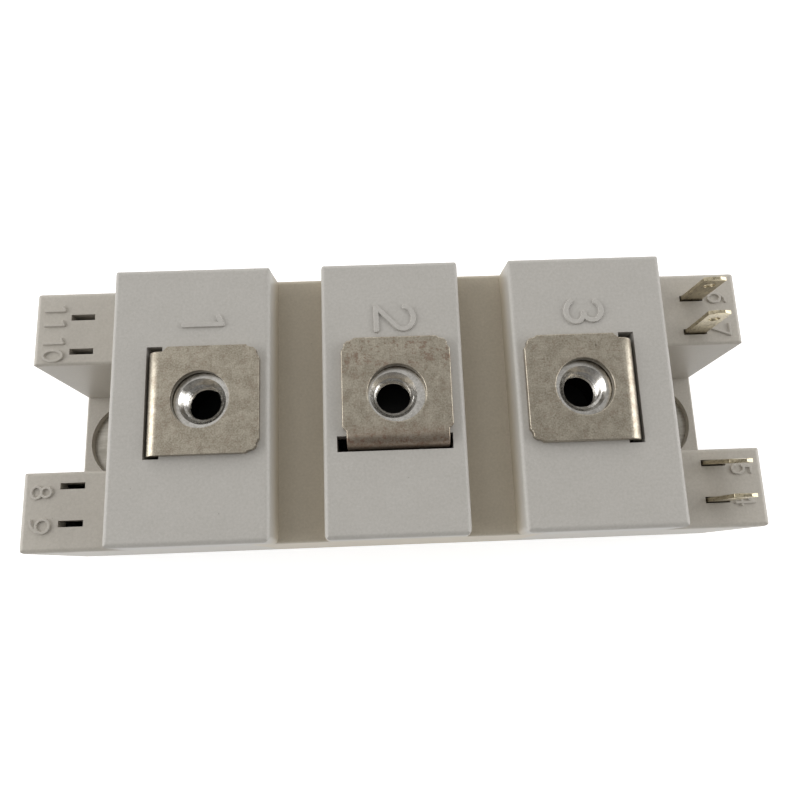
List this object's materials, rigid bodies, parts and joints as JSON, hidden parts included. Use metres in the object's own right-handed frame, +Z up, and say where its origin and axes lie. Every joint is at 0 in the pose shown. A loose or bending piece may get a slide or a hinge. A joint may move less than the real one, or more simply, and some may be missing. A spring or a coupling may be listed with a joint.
{
  "type": "igbt module",
  "caption": "Half-bridge IGBT power module with three screw terminals in a row, blade tabs at one end and a metal base plate.",
  "frame": {"origin": "centre of the base plate's underside", "axes": "+X along the length to the end with the fitted tabs, +Y to the back, +Z up from the mounting face"},
  "size_m": [0.094, 0.034, 0.0305],
  "materials": {
    "housing_plastic": "fine matte, light warm grey",
    "nickel_plate": "nickel-plated copper, satin",
    "plated_terminal": "worn tin plate with dull stains",
    "zinc_nut": "bright zinc plate",
    "tab_metal": "tinned brass, slightly golden",
    "copper": "bare copper",
    "substrate_ceramic": "white, unglazed",
    "silicon": "polished silicon with a metal film",
    "bond_wire": "drawn wire",
    "silicone_gel": "clear soft gel"
  },
  "bodies": {
    "root": {"base_plate": "nickel_plate", "housing": "housing_plastic", "gel": "silicone_gel", "terminal_1": "plated_terminal", "terminal_2": "plated_terminal", "terminal_3": "plated_terminal", "nut_1": "zinc_nut", "nut_2": "zinc_nut", "nut_3": "zinc_nut", "tab_4": "tab_metal", "tab_5": "tab_metal", "tab_6": "tab_metal", "tab_7": "tab_metal", "back_copper_high": "copper", "ceramic_high": "substrate_ceramic", "tracks_high": "copper", "igbt_high_1": "silicon", "igbt_high_2": "silicon", "diode_high_1": "silicon", "diode_high_2": "silicon", "emitter_wires_high": "bond_wire", "gate_wires_high": "bond_wire", "back_copper_low": "copper", "ceramic_low": "substrate_ceramic", "tracks_low": "copper", "igbt_low_1": "silicon", "igbt_low_2": "silicon", "diode_low_1": "silicon", "diode_low_2": "silicon", "emitter_wires_low": "bond_wire", "gate_wires_low": "bond_wire", "bridge_clip": "copper", "link_wires": "bond_wire"}
  },
  "joints": []
}
